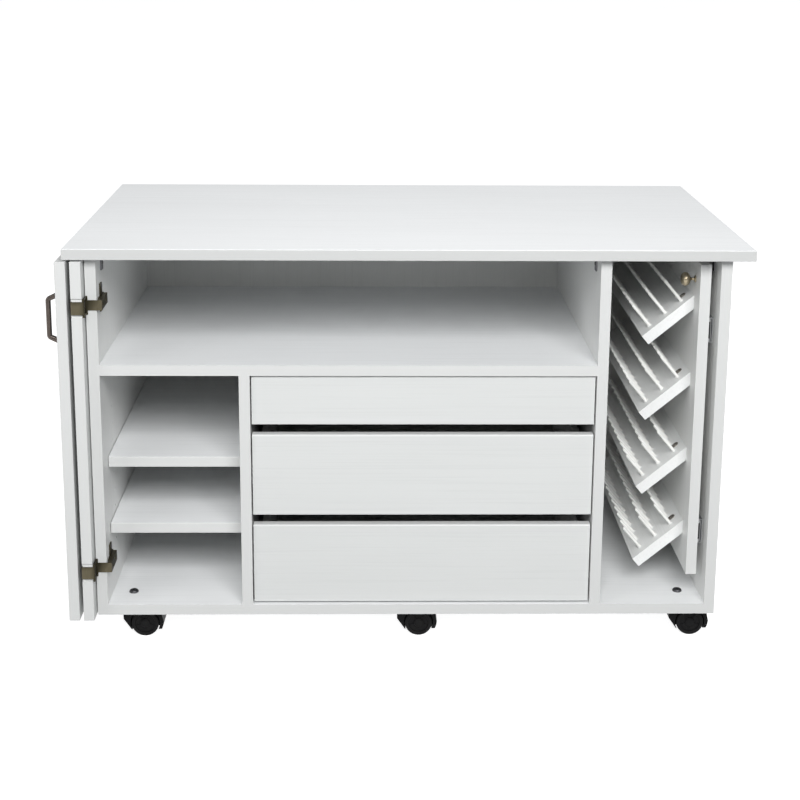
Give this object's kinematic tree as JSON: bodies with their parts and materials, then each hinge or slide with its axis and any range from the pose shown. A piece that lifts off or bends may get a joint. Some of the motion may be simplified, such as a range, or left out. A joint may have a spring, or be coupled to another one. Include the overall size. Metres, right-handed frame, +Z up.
{
  "type": "sewing table",
  "caption": "White sewing cabinet table on casters with an open machine bay, cubbies, inset drawers, a pull-out sloped thread rack and a folding side door.",
  "frame": {"origin": "on the floor under the middle of the overall box, door folded at the left and drawers shut", "axes": "+X to the user's right along the table's length, +Y to the back, +Z up"},
  "size_m": [1.225, 0.6776, 0.738],
  "materials": {
    "white_melamine": "white melamine-faced board, satin",
    "peg_white": "satin",
    "zinc_steel": "bright zinc",
    "bronze_steel": "antique bronze plate",
    "dark_steel": "black zinc",
    "caster_black": "moulded, fine grain",
    "wheel_black": "moulded tread",
    "nickel": "satin nickel",
    "cam_grey": "zinc die-cast, dark"
  },
  "bodies": {
    "cabinet": {"tabletop": "white_melamine", "left_side_panel": "white_melamine", "right_side_panel": "white_melamine", "base_panel": "white_melamine", "back_panel": "white_melamine", "machine_shelf": "white_melamine", "left_divider": "white_melamine", "right_divider": "white_melamine", "adjustable_shelves": "white_melamine", "shelf_pins": "zinc_steel", "top_brackets": "dark_steel", "assembly_screws": "zinc_steel", "mounting_screws": "zinc_steel", "hinge_plates": "bronze_steel", "hinge_side_arms": "bronze_steel", "drawer_slide_rails": "zinc_steel", "rack_slide_rails": "zinc_steel", "caster_bolts": "dark_steel"},
    "door_inner": {"door_inner_panel": "white_melamine", "hinge_door_arms": "bronze_steel", "fold_hinge_inner_leaves": "bronze_steel", "door_inner_screws": "bronze_steel"},
    "door_outer": {"door_outer_panel": "white_melamine", "fold_hinge_outer_leaves": "bronze_steel", "door_handle": "bronze_steel", "door_outer_screws": "bronze_steel"},
    "rack": {"rack_panel": "white_melamine", "rack_shelves": "white_melamine", "rack_pegs": "peg_white", "rack_cam_locks": "cam_grey", "rack_knob": "nickel", "rack_inner_rails": "zinc_steel"},
    "rack_middle": {"rack_middle_rails": "zinc_steel"},
    "drawer_1": {"drawer_1_front": "white_melamine", "drawer_1_box": "white_melamine", "drawer_1_inner_rails": "zinc_steel"},
    "drawer_1_middle": {"drawer_1_middle_rails": "zinc_steel"},
    "drawer_2": {"drawer_2_front": "white_melamine", "drawer_2_box": "white_melamine", "drawer_2_inner_rails": "zinc_steel"},
    "drawer_2_middle": {"drawer_2_middle_rails": "zinc_steel"},
    "drawer_3": {"drawer_3_front": "white_melamine", "drawer_3_box": "white_melamine", "drawer_3_inner_rails": "zinc_steel"},
    "drawer_3_middle": {"drawer_3_middle_rails": "zinc_steel"},
    "caster_1": {"caster_1_hood": "caster_black"},
    "caster_1_wheelset": {"caster_1_wheels": "wheel_black"},
    "caster_2": {"caster_2_hood": "caster_black"},
    "caster_2_wheelset": {"caster_2_wheels": "wheel_black"},
    "caster_3": {"caster_3_hood": "caster_black"},
    "caster_3_wheelset": {"caster_3_wheels": "wheel_black"},
    "caster_4": {"caster_4_hood": "caster_black"},
    "caster_4_wheelset": {"caster_4_wheels": "wheel_black"},
    "caster_5": {"caster_5_hood": "caster_black"},
    "caster_5_wheelset": {"caster_5_wheels": "wheel_black"},
    "caster_6": {"caster_6_hood": "caster_black"},
    "caster_6_wheelset": {"caster_6_wheels": "wheel_black"}
  },
  "joints": [
    {"name": "door_swing", "type": "hinge", "parent": "cabinet", "child": "door_inner", "pos_m": [-0.54, -0.3357, 0.15], "axis": [0, 0, -1], "range_deg": [-270, 0]},
    {"name": "door_fold", "type": "hinge", "parent": "door_inner", "child": "door_outer", "pos_m": [-0.565, 0.2213, 0.15], "axis": [0, 0, -1], "range_deg": [0, 180]},
    {"name": "drawer_1_slide", "type": "slide", "parent": "cabinet", "child": "drawer_1", "axis": [0, -1, 0], "range_m": [0, 0.45]},
    {"name": "drawer_1_middle_slide", "type": "slide", "parent": "cabinet", "child": "drawer_1_middle", "axis": [0, -1, 0], "range_m": [0, 0.225]},
    {"name": "drawer_2_slide", "type": "slide", "parent": "cabinet", "child": "drawer_2", "axis": [0, -1, 0], "range_m": [0, 0.45]},
    {"name": "drawer_2_middle_slide", "type": "slide", "parent": "cabinet", "child": "drawer_2_middle", "axis": [0, -1, 0], "range_m": [0, 0.225]},
    {"name": "drawer_3_slide", "type": "slide", "parent": "cabinet", "child": "drawer_3", "axis": [0, -1, 0], "range_m": [0, 0.45]},
    {"name": "drawer_3_middle_slide", "type": "slide", "parent": "cabinet", "child": "drawer_3_middle", "axis": [0, -1, 0], "range_m": [0, 0.225]},
    {"name": "rack_slide", "type": "slide", "parent": "cabinet", "child": "rack", "axis": [0, -1, 0], "range_m": [0, 0.45]},
    {"name": "rack_middle_slide", "type": "slide", "parent": "cabinet", "child": "rack_middle", "axis": [0, -1, 0], "range_m": [0, 0.225]},
    {"name": "caster_1_swivel", "type": "hinge", "parent": "cabinet", "child": "caster_1", "pos_m": [-0.4835, -0.2552, 0.0565], "axis": [0, 0, 1], "continuous": true},
    {"name": "caster_1_roll", "type": "hinge", "parent": "caster_1", "child": "caster_1_wheelset", "pos_m": [-0.4615, -0.2552, 0.025], "axis": [0, 1, 0], "continuous": true},
    {"name": "caster_2_swivel", "type": "hinge", "parent": "cabinet", "child": "caster_2", "pos_m": [0.0185, -0.2552, 0.0565], "axis": [0, 0, 1], "continuous": true},
    {"name": "caster_2_roll", "type": "hinge", "parent": "caster_2", "child": "caster_2_wheelset", "pos_m": [0.0405, -0.2552, 0.025], "axis": [0, 1, 0], "continuous": true},
    {"name": "caster_3_swivel", "type": "hinge", "parent": "cabinet", "child": "caster_3", "pos_m": [0.5205, -0.2552, 0.0565], "axis": [0, 0, 1], "continuous": true},
    {"name": "caster_3_roll", "type": "hinge", "parent": "caster_3", "child": "caster_3_wheelset", "pos_m": [0.5425, -0.2552, 0.025], "axis": [0, 1, 0], "continuous": true},
    {"name": "caster_4_swivel", "type": "hinge", "parent": "cabinet", "child": "caster_4", "pos_m": [-0.4835, 0.2428, 0.0565], "axis": [0, 0, 1], "continuous": true},
    {"name": "caster_4_roll", "type": "hinge", "parent": "caster_4", "child": "caster_4_wheelset", "pos_m": [-0.4615, 0.2428, 0.025], "axis": [0, 1, 0], "continuous": true},
    {"name": "caster_5_swivel", "type": "hinge", "parent": "cabinet", "child": "caster_5", "pos_m": [0.0185, 0.2428, 0.0565], "axis": [0, 0, 1], "continuous": true},
    {"name": "caster_5_roll", "type": "hinge", "parent": "caster_5", "child": "caster_5_wheelset", "pos_m": [0.0405, 0.2428, 0.025], "axis": [0, 1, 0], "continuous": true},
    {"name": "caster_6_swivel", "type": "hinge", "parent": "cabinet", "child": "caster_6", "pos_m": [0.5205, 0.2428, 0.0565], "axis": [0, 0, 1], "continuous": true},
    {"name": "caster_6_roll", "type": "hinge", "parent": "caster_6", "child": "caster_6_wheelset", "pos_m": [0.5425, 0.2428, 0.025], "axis": [0, 1, 0], "continuous": true}
  ],
  "couplings": [
    {"joint": "door_fold", "follows": "door_swing", "ratio": -0.66667},
    {"joint": "drawer_1_middle_slide", "follows": "drawer_1_slide", "ratio": 0.5},
    {"joint": "drawer_2_middle_slide", "follows": "drawer_2_slide", "ratio": 0.5},
    {"joint": "drawer_3_middle_slide", "follows": "drawer_3_slide", "ratio": 0.5},
    {"joint": "rack_middle_slide", "follows": "rack_slide", "ratio": 0.5}
  ]
}
